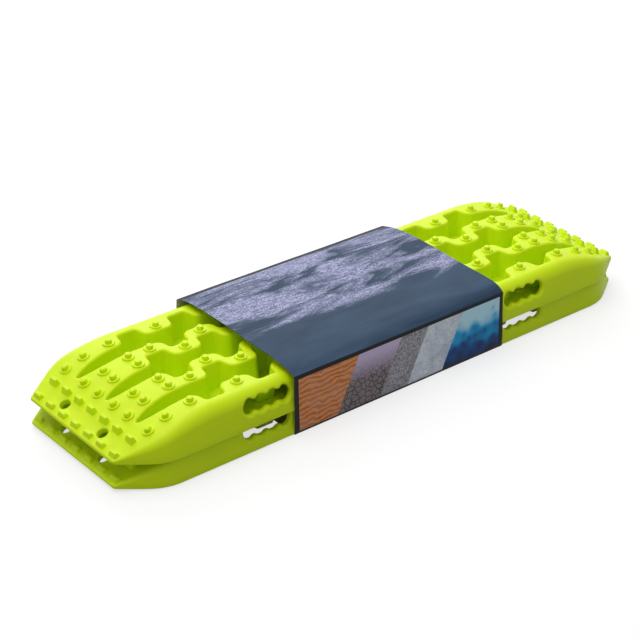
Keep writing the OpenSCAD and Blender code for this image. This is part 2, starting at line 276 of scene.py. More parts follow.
def wall_points(step, middle, wall):
    """One channel wall from its floor to the deck, with rounded foot and top; a wall gives its back."""
    x, y, nx, ny = step
    top = surface_z(x, wall)
    if x <= BOW_X:
        foot = FLOOR - wall
        foot_out = wall - (DECK - foot) * DRAFT
        top_out = wall - (DECK - top) * DRAFT
    else:
        half = (abs(y - middle) + wall) * bow_share(x, wall)
        foot = max(FLOOR - wall, DECK - (half - BOW_FLOOR) / DRAFT)
        wide = half - (DECK - top) * DRAFT
        if wide <= LEAST or foot >= top - LEAST:
            wide, foot, foot_out = 0.0, top, 0.0
        else:
            foot_out = -min(wide, (top - foot) * DRAFT)
        y = middle + ny * wide
        top_out = 0.0
    top_r, foot_r = (UNDER_FILLET, TOP_FILLET) if wall else (TOP_FILLET, FLOOR_FILLET)
    path = rounded([(foot_out - REACH, foot, 0, 0), (foot_out, foot, foot_r, FOOT_N),
                    (top_out, top, top_r, TOP_N), (top_out + REACH, top, 0, 0)])
    out = []
    for d, z in path:
        px = x + nx * d
        rise = (surface_z(px, wall) - top) * (z - foot) / max(top - foot, 1e-6) if nx else 0.0
        out.append((px, y + ny * d, z + rise))
    return out


def half_section(row, wall):
    """Half of a section from the middle to the rim: the outer face for no wall, else the underside."""
    middles = (0.0, SIDE_LINE, SIDE_LINE)
    mid, inner, outer = (wall_points(step, middle, wall) for step, middle in zip(row, middles))
    points = [(mid[0][0], 0.0, mid[0][2])] + mid + inner[::-1]
    for p, s in ((inner[0], -1), (outer[0], 1)):
        points.append((p[0], SIDE_LINE + s * min(SEAM, 0.5 * abs(p[1] - SIDE_LINE)), p[2]))
    points += outer
    x = outer[-1][0]
    if wall:
        half = plan_y(min(abs(x) + wall, HALF_L)) - wall / math.cos(SIDE)
        radius = max(LEAST_SHOULDER, shoulder(x) - wall)
        soft, way = RIM_IN, 1
    else:
        half = plan_y(x)
        radius = shoulder(x)
        soft, way = RIM_OUT, -1
    arc_z = surface_z(x, wall) - radius
    arc_y = half - (radius + arc_z * math.sin(SIDE)) / math.cos(SIDE)
    for i in range(ARC_N):
        a = math.pi / 2 - (math.pi / 2 - SIDE) * i / (ARC_N - 1)
        points.append((x, arc_y + radius * math.cos(a), arc_z + radius * math.sin(a)))
    rim = rim_z(x)
    lean = math.tan(SIDE)
    band = rim + RIM_BAND
    points.append((x, half - band * lean, min(band, arc_z + radius * math.sin(SIDE))))
    points.append((x, half - (rim + soft) * lean, rim + soft))
    points.append((x, half - rim * lean + way * 0.3 * soft, rim + 0.25 * soft))
    points.append((x, half - rim * lean + way * soft, rim))
    return points


# Points of a mesh that lie closer than this are one
MERGE = 1e-3


def clean_mesh(name, verts, faces):
    """A mesh without double points or empty faces, with its faces turned outwards."""
    mesh = bpy.data.meshes.new(name)
    mesh.from_pydata(verts, [], faces)
    bm = bmesh.new()
    bm.from_mesh(mesh)
    bmesh.ops.remove_doubles(bm, verts=bm.verts, dist=MERGE)
    bmesh.ops.dissolve_degenerate(bm, edges=bm.edges, dist=MERGE)
    bmesh.ops.recalc_face_normals(bm, faces=bm.faces)
    bm.to_mesh(mesh)
    bm.free()
    return mesh


def side_faces(rings, n):
    """Faces between neighbours in a stack of rings of n points."""
    faces = []
    for i in range(rings - 1):
        for j in range(n):
            a, b = i * n + j, i * n + (j + 1) % n
            faces.append((a, b, b + n, a + n))
    return faces


def shell_mesh():
    """The board's shell from tip to tip, solid past the lip at each tip."""
    lip = HALF_L - TIP_LIP
    at_lip = straight_row(lip)
    lip_under = half_section(at_lip, WALL)
    rows = edge_rows()
    hollow = [row for row in rows if row[0][0] < lip] + [at_lip]
    solid = [straight_row(lip + LIP_STEP)] + [row for row in rows if row[0][0] > lip]
    rings = []
    for row in hollow + solid:
        outer = half_section(row, 0.0)
        if row[0][0] <= lip:
            under = half_section(row, WALL)
        else:
            x, wide, foot = outer[-1]
            under = [(x, p[1] * (wide - LIP_EDGE) / lip_under[-1][1], foot) for p in lip_under]
        ring = outer[::-1] + [(x, -y, z) for x, y, z in outer[1:]]
        ring += [(x, -y, z) for x, y, z in under[::-1]] + under[1:]
        rings.append(ring)
    rings = [[(-x, y, z) for x, y, z in ring] for ring in rings[:0:-1]] + rings
    n = len(rings[0])
    verts = [v for ring in rings for v in ring]
    faces = side_faces(len(rings), n)
    for i in (0, len(rings) - 1):
        for j in range(2 * len(outer) - 2):
            q = (i * n + j, i * n + j + 1, i * n + n - 2 - j, i * n + n - 1 - j)
            faces.append(q if i else q[::-1])
    return clean_mesh("shell", verts, faces)


def lathe(profile, n):
    """Closed solid of revolution about +Z; the profile (radius, height) runs from the axis to the axis."""
    turns = [2 * math.pi * k / n for k in range(n)]
    verts, faces, rings = [], [], []
    for r, z in profile:
        if r < 1e-6:
            rings.append([len(verts)] * n)
            verts.append((0, 0, z))
        else:
            rings.append(list(range(len(verts), len(verts) + n)))
            verts += [(r * math.cos(a), r * math.sin(a), z) for a in turns]
    for ring, above in zip(rings, rings[1:]):
        for k in range(n):
            corners = (ring[k], ring[(k + 1) % n], above[(k + 1) % n], above[k])
            face = list(dict.fromkeys(corners))
            if len(face) > 2:
                faces.append(face)
    return verts, faces


def fillet_path(corners):
    """The same for a lathe's profile, as pairs (radius, height)."""
    return [(p.x, p.y) for p in rounded(corners)]


def on_ramp(x, y):
    """Place on the deck or ramp, with +Z square to it."""
    s = math.copysign(1, x)
    return Matrix.Translation((x, y, ramp_z(x))) @ Matrix.Rotation(s * ramp_slope(x), 4, "Y")


def add_part(store, verts, faces, matrix):
    """Adds a moved form to a store of points and faces."""
    base = len(store[0])
    store[0].extend(tuple(matrix @ Vector(v)) for v in verts)
    store[1].extend(tuple(base + i for i in f) for f in faces)


def four_ways(places):
    """The places and their mirror images on both axes."""
    return [(sx * x, sy * y) for x, y in places for sx in (-1, 1) for sy in (-1, 1)]


# Studs: a peg in a ring groove on a disc; its foot sinks into the board
STUD_D, STUD_H, DISC_D, DISC_H, GROOVE = 10.0, 8.0, 20.0, 2.4, 1.2
STUD_SINK, DISC_FLARE, GROOVE_Z, STUD_N = 2.0, 0.2, 1.0, 24
STUD = fillet_path([(0, -STUD_SINK, 0, 1), (DISC_D / 2 + DISC_FLARE, -STUD_SINK, 0, 1),
                    (DISC_D / 2 + DISC_FLARE, 0.0, 0, 1), (DISC_D / 2, DISC_H, 1.5, 5),
                    (STUD_D / 2 + GROOVE, DISC_H, 0.8, 3), (STUD_D / 2 + GROOVE - 0.3, GROOVE_Z, 0.3, 3),
                    (STUD_D / 2 + 0.25, GROOVE_Z, 0.5, 3), (STUD_D / 2 - 0.1, STUD_H, 1.0, 4),
                    (0, STUD_H, 0, 1)])
# Rows on a ramp: distance from the tip, spread of the inner pair, outward shift of the outer stud
STUD_ROWS = ((64.0, 18.5, 4.5), (96.0, LANE / 2, 3.5), (141.5, LANE / 2, 1.5))
# Jogs after which the deck has studs
STUD_JOGS = (0, 1, 2, 4)


def after_jog(k):
    """Place halfway between jog k and the next one."""
    return (jog_x(k) + jog_x(k + 1)) / 2


def stud_places():
    out = []
    for row, spread, shift in STUD_ROWS:
        out += [(HALF_L - row, y) for y in (1.5 * LANE - spread, 1.5 * LANE + spread, 4 * LANE + shift)]
    for k in STUD_JOGS:
        out += [(after_jog(k), y) for y in ([2 * LANE] if k % 2 == 0 else [LANE, 4 * LANE])]
    return four_ways(out) + [(0.0, LANE), (0.0, -LANE)]


# Cleats: width, length, pitch, count on each side of the middle one, and rows (from the tip, height)
CLEAT_W, CLEAT_T, CLEAT_PITCH, CLEAT_N = 17.8, 9.6, 33.4, 3
CLEAT_ROWS = ((9.0, 6.4), (38.0, 9.8))
# How far each face leans in, how deep the foot sinks, how much of the ramp's fall the top follows
CLEAT_SIDE, CLEAT_FRONT, CLEAT_BACK, CLEAT_SINK, CLEAT_FALL = 2.0, 1.3, 3.5, 3.0, 0.6
CLEAT_ROUND, LEAST_ROUND = 0.9, 0.2


def cleat_solid(x, y, high):
    """A tooth that stands on the ramp and narrows to its top, as stacked rings."""
    # Height over the ramp, share of the lean, inset of the rounded upper edge
    steps = [(-CLEAT_SINK, -CLEAT_SINK / high, 0.0), (high - CLEAT_ROUND, 1 - CLEAT_ROUND / high, 0.0),
             (high - 0.25, 1.0, 0.05), (high, 1.0, 0.45), (high, 1.0, 0.65)]
    verts = []
    for lift, share, inset in steps:
        front = x + CLEAT_T / 2 - CLEAT_FRONT * share - inset
        back = x - CLEAT_T / 2 + CLEAT_BACK * share + inset
        wide = CLEAT_W / 2 - CLEAT_SIDE * share - inset
        r = max(LEAST_ROUND, CLEAT_ROUND - inset)
        fall = 1.0 if lift < 0 else CLEAT_FALL
        for sx, sy, start in ((1, 1, 0), (-1, 1, 90), (-1, -1, 180), (1, -1, 270)):
            for turn in (0, 30, 60, 90):
                a = math.radians(start + turn)
                px = (front - r if sx > 0 else back + r) + r * math.cos(a)
                foot = ramp_z(x) + fall * (ramp_z(min(px, HALF_L)) - ramp_z(x))
                verts.append((px, y + sy * (wide - r) + r * math.sin(a), foot + lift))
    n = len(verts) // len(steps)
    caps = [tuple(range(n))[::-1], tuple(range(len(verts) - n, len(verts)))]
    return verts, caps + side_faces(len(steps), n)


# Grip pads under the channel floors: radius below and above, lower end, upper end inside the floor
PAD_R, PAD_ROOT_R, PAD_Z, PAD_TOP, PAD_N = 4.0, 6.0, 0.5, FLOOR - WALL + 2, 20
PAD = fillet_path([(0, PAD_Z, 0, 1), (PAD_R, PAD_Z, 0.8, 4),
                   (PAD_ROOT_R, PAD_TOP, 0, 1), (0, PAD_TOP, 0, 1)])
# Distance of the outermost pads from the start of the bow
PAD_IN_BOW = 20.0


def pad_places():
    half = [(BOW_X + PAD_IN_BOW, SIDE_LINE)]
    half += [(after_jog(k), SIDE_LINE + swap(k) * LANE / 2) for k in range(JOGS - 1)]
    middle = SIDE_LINE + swap(JOGS - 1) * LANE / 2
    return [(0.0, -middle), (0.0, middle)] + four_ways(half)


# Handle slots: place, length, height; finger rests; flared lip; collar behind the wall
SLOT_X, SLOT_L, SLOT_H, SLOT_Z = 273.0, 90.0, 26.0, 33.0
GRIP_R, GRIP_DEPTH, GRIP_PITCH = 9.0, 3.4, 23.0
FLARE_W, FLARE_D = 5.6, 3.8
COLLAR_T, COLLAR_IN, COLLAR_OUT, COLLAR_EDGE = 3.0, 2.0, 8.5, 0.8
# The slots' cutter: how far it stands out of the side, its depth, turns of its flare in degrees
CUT_OUT, CUT_DEPTH = 3.0, 14.0
FLARE_TURNS = (6, 16, 27, 38, 50, 63, 76, 90)
# Outline: raw points on a long edge and on an end, even points, points kept
EDGE_RAW, END_RAW, EVEN_N, SLOT_N = 600, 400, 960, 160
# Softening, in even points: reach and spread
SOFT_REACH, SOFT_SPREAD = 24, 7.0


def slot_raw():
    """Points round a slot with sharp finger rests on its long edges."""
    half = SLOT_L / 2 - SLOT_H / 2
    round_r = SLOT_H / 2
    lower = [(-half + 2 * half * i / EDGE_RAW, -round_r) for i in range(EDGE_RAW)]
    upper = [(half - 2 * half * i / EDGE_RAW, round_r) for i in range(EDGE_RAW)]
    ends = []
    for centre, start in ((half, -math.pi / 2), (-half, math.pi / 2)):
        turns = [start + math.pi * i / END_RAW for i in range(END_RAW)]
        ends.append([(centre + round_r * math.cos(a), round_r * math.sin(a)) for a in turns])
    points = []
    for x, z in lower + ends[0] + upper + ends[1]:
        rest = 0.0
        for g in (-GRIP_PITCH, 0.0, GRIP_PITCH):
            if abs(x - g) < GRIP_R:
                rest = max(rest, math.sqrt(GRIP_R ** 2 - (x - g) ** 2) - (GRIP_R - GRIP_DEPTH))
        limit = round_r - rest
        points.append((x, max(-limit, min(limit, z))))
    return np.array(points)


def slot_outline():
    """The slot's outline, softened at even steps, and its outward normals."""
    p = slot_raw()
    lengths = np.hypot(*(np.roll(p, -1, 0) - p).T)
    run = np.concatenate([[0], np.cumsum(lengths)])
    even = np.linspace(0, run[-1], EVEN_N + 1)[:-1]
    q = np.stack([np.interp(even, run, np.append(p[:, k], p[0, k])) for k in (0, 1)], 1)
    shifts = np.arange(-SOFT_REACH, SOFT_REACH + 1)
    weights = np.exp(-0.5 * (shifts / SOFT_SPREAD) ** 2)
    weights /= weights.sum()
    q = sum(weight * np.roll(q, shift, 0) for weight, shift in zip(weights, shifts))
    q = q[::EVEN_N // SLOT_N]
    along = np.roll(q, -1, 0) - np.roll(q, 1, 0)
    normal = np.stack([along[:, 1], -along[:, 0]], 1)
    normal /= np.linalg.norm(normal, axis=1)[:, None]
    return q, normal


def side_y(z):
    """Half width of the side at height z, away from the ends."""
    arc_z = DECK - SHOULDER
    arc_y = HALF_W - (SHOULDER + arc_z * math.sin(SIDE)) / math.cos(SIDE)
    if z < arc_z + SHOULDER * math.sin(SIDE):
        return HALF_W - z * math.tan(SIDE)
    return arc_y + math.sqrt(max(0.0, SHOULDER ** 2 - (z - arc_z) ** 2))


def slot_loft(store, steps):
    """Adds a closed form at each slot: its outline, grown and set behind the side by each step."""
    outline, normal = slot_outline()
    n = len(outline)
    caps = [tuple(i * n + j for j in range(n)) for i in (0, len(steps) - 1)]
    for sx, sy in ((-1, -1), (-1, 1), (1, -1), (1, 1)):
        verts = []
        for grow, depth in steps:
            for (x, z), (nx, nz) in zip(outline, normal):
                pz = SLOT_Z + z + nz * grow
                verts.append((sx * (SLOT_X + x + nx * grow), sy * (side_y(pz) - depth), pz))
        add_part(store, verts, side_faces(len(steps), n) + caps, Matrix.Identity(4))


def slot_collars(store):
    slot_loft(store, [(COLLAR_T, COLLAR_IN), (COLLAR_T, COLLAR_OUT - COLLAR_EDGE),
                      (COLLAR_T - COLLAR_EDGE, COLLAR_OUT)])


def slot_cutters(store):
    steps = [(FLARE_W * 0.9, -CUT_OUT)]
    for turn in FLARE_TURNS:
        a = math.radians(turn)
        steps.append((FLARE_W * (1 - math.sin(a)), FLARE_D * (1 - math.cos(a))))
    slot_loft(store, steps + [(0.0, CUT_DEPTH)])


# Tie-down holes: radius and place; the collar under the ramp: wall, depth, upper end and flare
HOLE_R, HOLE_X, HOLE_Y = 9.0, HALF_L - 23.0, 49.5
BOSS_T, BOSS_H, BOSS_TOP, BOSS_FLARE = 3.2, 10.0, -1.5, 0.3
BOSS = fillet_path([(0, -BOSS_H, 0, 1), (HOLE_R + BOSS_T, -BOSS_H, 1.0, 4),
                    (HOLE_R + BOSS_T + BOSS_FLARE, BOSS_TOP, 0, 1), (0, BOSS_TOP, 0, 1)])
# The hole's cutter, which rounds its upper edge: lower end, upper end, points round the hole
BORE_LOW, BORE_TOP, HOLE_N = -16, 2.0, 48
BORE = [(0, BORE_LOW), (HOLE_R, BORE_LOW), (HOLE_R, -1.2), (HOLE_R + 0.2, -0.6), (HOLE_R + 0.5, -0.1),
        (HOLE_R + 0.9, 0.12), (HOLE_R + 1.0, BORE_TOP), (0, BORE_TOP)]


def add_turned(store, profile, n, matrices):
    """Adds one turned solid at each place."""
    verts, faces = lathe(profile, n)
    for matrix in matrices:
        add_part(store, verts, faces, matrix)


def hole_matrices():
    return [on_ramp(x, y) for x, y in four_ways([(HOLE_X, HOLE_Y)])]


def added_mesh():
    """All that is joined to the shell."""
    store = ([], [])
    add_turned(store, STUD, STUD_N, [on_ramp(x, y) for x, y in stud_places()])
    for row, high in CLEAT_ROWS:
        for i in range(-CLEAT_N, CLEAT_N + 1):
            verts, faces = cleat_solid(HALF_L - row, i * CLEAT_PITCH, high)
            add_part(store, verts, faces, Matrix.Identity(4))
            mirrored = [(-x, y, z) for x, y, z in verts]
            add_part(store, mirrored, [face[::-1] for face in faces], Matrix.Identity(4))
    slot_collars(store)
    add_turned(store, BOSS, HOLE_N, hole_matrices())
    add_turned(store, PAD, PAD_N, [Matrix.Translation((x, y, 0)) for x, y in pad_places()])
    return clean_mesh("added", *store)


def cut_mesh():
    """All that is cut from the shell."""
    store = ([], [])
    slot_cutters(store)
    add_turned(store, BORE, HOLE_N, hole_matrices())
    return clean_mesh("cutters", *store)


def new_object(name, data):
    obj = bpy.data.objects.new(name, data)
    scene.collection.objects.link(obj)
    return obj


def boolean(obj, other, operation):
    """Joins the other solid to an object or cuts it out, and keeps the result as the object's mesh."""
    mod = obj.modifiers.new("solid", "BOOLEAN")
    mod.operation = operation
    mod.solver = "MANIFOLD"
    mod.object = other
    bpy.context.view_layer.update()
    made = bpy.data.meshes.new_from_object(obj.evaluated_get(bpy.context.evaluated_depsgraph_get()))
    obj.modifiers.clear()
    old = obj.data
    obj.data = made
    bpy.data.meshes.remove(old)


def keep_largest(mesh):
    """Drops every loose piece of a mesh but the largest."""
    bm = bmesh.new()
    bm.from_mesh(mesh)
    left = set(bm.verts)
    pieces = []
    while left:
        todo = [left.pop()]
        piece = list(todo)
        while todo:
            vert = todo.pop()
            for edge in vert.link_edges:
                other = edge.other_vert(vert)
                if other in left:
                    left.remove(other)
                    todo.append(other)
                    piece.append(other)
        pieces.append(piece)
    pieces.sort(key=len)
    for piece in pieces[:-1]:
        bmesh.ops.delete(bm, geom=piece, context="VERTS")
    bm.to_mesh(mesh)
    bm.free()


def board_mesh():
    board = new_object("board_form", shell_mesh())
    for mesh, operation in ((added_mesh(), "UNION"), (cut_mesh(), "DIFFERENCE")):
        other = new_object("tool", mesh)
        boolean(board, other, operation)
        bpy.data.objects.remove(other)
        bpy.data.meshes.remove(mesh)
    mesh = board.data
    bpy.data.objects.remove(board)
    keep_largest(mesh)
    mesh.transform(Matrix.Scale(MM, 4))
    mesh.shade_smooth()
    mesh.set_sharp_from_angle(angle=math.radians(40))
    mesh.name = "recovery_board"
    return mesh


# Materials
def linear(c):
    """Linear light of one sRGB channel."""
    return c / 12.92 if c <= 0.04045 else ((c + 0.055) / 1.055) ** 2.4


def srgb(r, g, b):
    return (linear(r / 255), linear(g / 255), linear(b / 255), 1.0)


class Nodes:
    """Short names for making a node material."""

    def __init__(self, name):
        self.mat = bpy.data.materials.new(name)
        self.mat.use_nodes = True
        self.tree = self.mat.node_tree
        self.bsdf = self.tree.nodes["Principled BSDF"]

    def add(self, kind, inputs=None, **props):
        node = self.tree.nodes.new(kind)
        for key, value in props.items():
            setattr(node, key, value)
        for key, value in (inputs or {}).items():
            self.set(node.inputs[key], value)
        return node

    def set(self, socket, value):
        if isinstance(value, bpy.types.NodeSocket):
            self.tree.links.new(value, socket)
        else:
            socket.default_value = value

    def shade(self, name, value):
        self.set(self.bsdf.inputs[name], value)

    def math(self, operation, a, b):
        node = self.add("ShaderNodeMath", operation=operation)
        self.set(node.inputs[0], a)
        self.set(node.inputs[1], b)
        return node.outputs[0]

    def plus(self, a, b):
        return self.math("ADD", a, b)

    def minus(self, a, b):
        return self.math("SUBTRACT", a, b)

    def times(self, a, b):
        return self.math("MULTIPLY", a, b)

    def mix(self, share, a, b):
        node = self.add("ShaderNodeMix", data_type="RGBA")
        self.set(node.inputs[0], share)
        self.set(node.inputs[6], a)
        self.set(node.inputs[7], b)
        return node.outputs[2]

    def noise(self, vector, scale, detail=2.0, rough=0.5, distortion=0.0):
        node = self.add("ShaderNodeTexNoise", {"Vector": vector, "Scale": scale, "Detail": detail,
                                               "Roughness": rough, "Distortion": distortion})
        return node.outputs["Fac"]

    def cells(self, vector, scale, feature):
        node = self.add("ShaderNodeTexVoronoi", {"Vector": vector, "Scale": scale}, feature=feature)
        return node.outputs[0]

    def ramp(self, value, stops):
        node = self.add("ShaderNodeValToRGB")
        self.set(node.inputs[0], value)
        elements = node.color_ramp.elements
        while len(elements) < len(stops):
            elements.new(0.5)
        for element, (position, colour) in zip(elements, stops):
            element.position = position
            element.color = colour
        return node.outputs[0]

    def range(self, value, from_low, from_high, to_low, to_high):
        node = self.add("ShaderNodeMapRange", {"From Min": from_low, "From Max": from_high,
                                               "To Min": to_low, "To Max": to_high})
        self.set(node.inputs[0], value)
        return node.outputs[0]

    def step(self, value, edge, soft):
        """0 below the edge, 1 above it."""
        return self.range(value, edge - soft, edge + soft, 0.0, 1.0)

    def between(self, value, low, high, soft):
        """1 between two edges, 0 elsewhere."""
        return self.times(self.step(value, low, soft), self.step(self.minus(0.0, value), -high, soft))

    def split(self, vector):
        return self.add("ShaderNodeSeparateXYZ", {"Vector": vector}).outputs

    def bump(self, height, strength, distance):
        node = self.add("ShaderNodeBump", {"Strength": strength, "Distance": distance, "Height": height})
        self.shade("Normal", node.outputs[0])

    def here(self):
        return self.add("ShaderNodeTexCoord").outputs["Object"]


def plastic():
    """Lime plastic with a satin sheen; light that enters it spreads a little, green the furthest."""
    n = Nodes("lime_plastic")
    at = n.here()
    broad = n.noise(at, 9.0, 3.0)
    fine = n.noise(at, 420.0, 2.0)
    grain = n.noise(at, 1500.0, 1.0)
    lime = n.mix(n.range(broad, 0.3, 0.7, 0.0, 1.0), srgb(206, 232, 0), srgb(210, 236, 0))
    n.shade("Base Color", n.mix(n.range(fine, 0.35, 0.65, 0.0, 0.10), lime, srgb(215, 239, 2)))
    n.shade("Roughness", n.plus(n.range(broad, 0.3, 0.7, 0.44, 0.50), n.range(fine, 0.3, 0.7, -0.03, 0.03)))
    n.shade("IOR", 1.5)
    n.shade("Subsurface Weight", 0.35)
    n.shade("Subsurface Radius", (0.45, 1.0, 0.03))
    n.shade("Subsurface Scale", 0.006)
    n.shade("Specular IOR Level", 0.25)
    n.bump(grain, 0.12, 0.0004)
    return n.mat


def card_base(name, rough):
    """A card with fine fibre and slow waves in its surface; its colour is still to be set."""
    n = Nodes(name)
    at = n.here()
    fibre = n.noise(at, 1100.0, 2.0)
    wave = n.noise(at, 22.0, 1.0)
    n.shade("Roughness", n.range(fibre, 0.3, 0.7, rough - 0.04, rough + 0.04))
    n.shade("Specular IOR Level", 0.15)
    n.bump(n.plus(n.times(fibre, 0.06), wave), 0.25, 0.0012)
    return n, at, fibre


# Print on the top panel, in metres: where the frost starts, how far it wanders, and the dark rear strip
FROST_Y, FROST_WANDER, STRIP_Y = -0.030, 0.16, 0.1405


def top_print():
    """Slate field with frosty drifts over its rear part and a dark strip along the rear fold."""
    n, at, fibre = card_base("printed_top", 0.60)
    y = n.split(at)["Y"]
    sweep = n.add("ShaderNodeMapping", {"Vector": at, "Rotation": (0, 0, 0.32),
                                        "Scale": (7.0, 26.0, 1.0)}).outputs[0]
    drift = n.noise(sweep, 1.0, 5.0, 0.58, 0.7)
    streak = n.noise(sweep, 9.0, 4.0, 0.65, 0.4)
    speck = n.noise(at, 330.0, 4.0, 0.72)
    slate = n.mix(n.range(drift, 0.3, 0.7, 0.0, 1.0), srgb(26, 48, 72), srgb(46, 72, 98))
    frost = n.ramp(n.plus(n.times(speck, 0.62), n.times(streak, 0.38)),
                   [(0.36, srgb(58, 68, 88)), (0.48, srgb(122, 126, 158)),
                    (0.58, srgb(176, 178, 212)), (0.70, srgb(214, 214, 238))])
    edge = n.plus(y, n.times(n.minus(drift, 0.5), FROST_WANDER))
    frosted = n.times(n.step(edge, FROST_Y, 0.014), n.step(drift, 0.47, 0.07))
    colour = n.mix(frosted, slate, frost)
    colour = n.mix(n.times(n.step(fibre, 0.5, 0.2), 0.05), colour, srgb(120, 132, 150))
    n.shade("Base Color", n.mix(n.step(y, STRIP_Y, 0.0004), colour, srgb(24, 25, 29)))
    return n.mat


# Print on the front panel, in metres: lean of its ends, slant and edges of the fields, border
END_LEAN, FIELD_SLANT = 0.06, 0.42
FIELD_EDGES = (-0.140, -0.052, 0.006, 0.082)
BORDER_X, BORDER_Z = (-0.2150, 0.2115), (0.0042, 0.0985)
FIELD_SOFT, BORDER_SOFT = 0.0004, 0.0003


def front_print():
    """Five slanted fields of ground, from sand to ice, in a dark border."""
    n, at, _ = card_base("printed_front", 0.44)
    place = n.split(at)
    x, z = place["X"], place["Z"]
    lean = n.plus(x, n.times(z, END_LEAN))
    slant = n.minus(x, n.times(z, FIELD_SLANT))
    fine = n.noise(at, 420.0, 4.0, 0.7)
    broad = n.noise(at, 38.0, 4.0, 0.6, 0.6)
    ripple = n.add("ShaderNodeTexWave", {"Vector": at, "Scale": 34.0, "Distortion": 7.0, "Detail": 3.0,
                                         "Detail Scale": 1.4, "Phase Offset": 2.0},
                   bands_direction="Z").outputs["Fac"]
    crack = n.cells(at, 95.0, "DISTANCE_TO_EDGE")
    facet = n.cells(at, 60.0, "SMOOTH_F1")
    height = n.range(z, 0.004, 0.095, 0.0, 1.0)
    sand = n.mix(ripple, srgb(186, 98, 40), srgb(242, 160, 96))
    sand = n.mix(n.range(broad, 0.35, 0.7, 0.0, 0.6), sand, srgb(214, 160, 132))
    clay = n.mix(fine, srgb(112, 104, 106), srgb(158, 146, 148))
    clay = n.mix(n.step(crack, 0.06, 0.05), srgb(58, 54, 56), clay)
    clay = n.mix(n.step(height, 0.72, 0.22), clay, srgb(206, 192, 226))
    stone = n.mix(n.range(fine, 0.38, 0.62, 0.0, 1.0), srgb(96, 96, 104), srgb(196, 194, 202))
    powder = n.range(n.plus(fine, broad), 0.75, 1.25, 0.0, 1.0)
    snow = n.mix(powder, srgb(166, 184, 208), srgb(240, 246, 252))
    ice = n.ramp(n.plus(n.times(height, 0.8), n.times(facet, 0.42)),
                 [(0.16, srgb(14, 22, 44)), (0.40, srgb(14, 78, 146)),
                  (0.62, srgb(30, 166, 222)), (0.86, srgb(190, 234, 250))])
    colour = sand
    for edge, field in zip(FIELD_EDGES, (clay, stone, snow, ice)):
        colour = n.mix(n.step(slant, edge, FIELD_SOFT), colour, field)
    inside = n.times(n.between(lean, *BORDER_X, BORDER_SOFT), n.between(z, *BORDER_Z, BORDER_SOFT))
    n.shade("Base Color", n.mix(inside, srgb(9, 9, 10), colour))
    return n.mat


def plain_print(name, dark, light):
    """Plain dark print that varies slowly."""
    n, at, fibre = card_base(name, 0.48)
    broad = n.noise(at, 12.0, 4.0, 0.6)
    colour = n.mix(n.range(broad, 0.3, 0.7, 0.0, 1.0), dark, light)
    n.shade("Base Color", n.mix(n.times(fibre, 0.12), colour, srgb(128, 136, 148)))
    return n.mat


def raw_card(name, dark, light):
    """Unprinted pulp with flecks."""
    n, at, _ = card_base(name, 0.8)
    fleck = n.noise(at, 520.0, 3.0, 0.7)
    n.shade("Base Color", n.mix(n.range(fleck, 0.3, 0.7, 0.0, 1.0), dark, light))
    return n.mat


# Card sleeve: half width, thickness of the card, radius of the lower folds, height of the top panel
SLEEVE_HW, CARD_T, FOLD, CROWN = 153.6, 0.8, 1.1, 114.7
# How the top panel falls to the front and to the rear fold at each end: start, depth at the fold, power
LEFT_FALL = ((55.0, 8.7, 3.0), (20.0, 13.5, 4.2))
RIGHT_FALL = ((100.0, 10.1, 4.4), (30.0, 15.5, 3.0))
# Left and right end of the card along each of its folds
ENDS = {"front_low": (-225.0, 221.0), "front_top": (-229.0, 213.0),
        "rear_top": (-223.5, 220.5), "rear_low": (-224.0, 221.0)}
# Edge of the glue flap, the step over it and half the width of that step
FLAP_Y, FLAP_STEP, FLAP_EDGE = 112.0, 0.35, 0.2
# Rounding of the upper folds: inwards and down
TOP_FOLD_IN, TOP_FOLD_DOWN = 0.35, 1.0
# Hollows of the rear and front panel; slow sag of the top panel, with its radians per length and per mm
REAR_HOLLOW, FRONT_HOLLOW = 0.25, 0.2
SAG, SAG_LENGTHWISE, SAG_ACROSS = 0.25, 9.0, 0.031
# Wave of the cut ends: depth, radians per mm across and up, and power with which it fades inwards
END_WAVE, END_ACROSS, END_UP, END_FADE = 0.45, 0.043, 0.06, 6
# Sections along the card, and points across each panel
CARD_N, UNDER_POINTS, FLAP_POINTS, REAR_POINTS, TOP_POINTS, FRONT_POINTS = 44, 14, 5, 11, 76, 13
# Material slots of the card
TOP, FRONT, REAR, UNDER, INSIDE, CUT_EDGE = range(6)


def top_height(falls, y):
    """Height of the top panel at y."""
    start, depth, power = falls[0] if y < 0 else falls[1]
    return CROWN - depth * max(0.0, (abs(y) - start) / (SLEEVE_HW - start)) ** power


def fold_point(turn):
    """Run and rise round a lower fold after a turn in degrees."""
    a = math.radians(turn)
    return FOLD * math.sin(a), FOLD * (1 - math.cos(a))


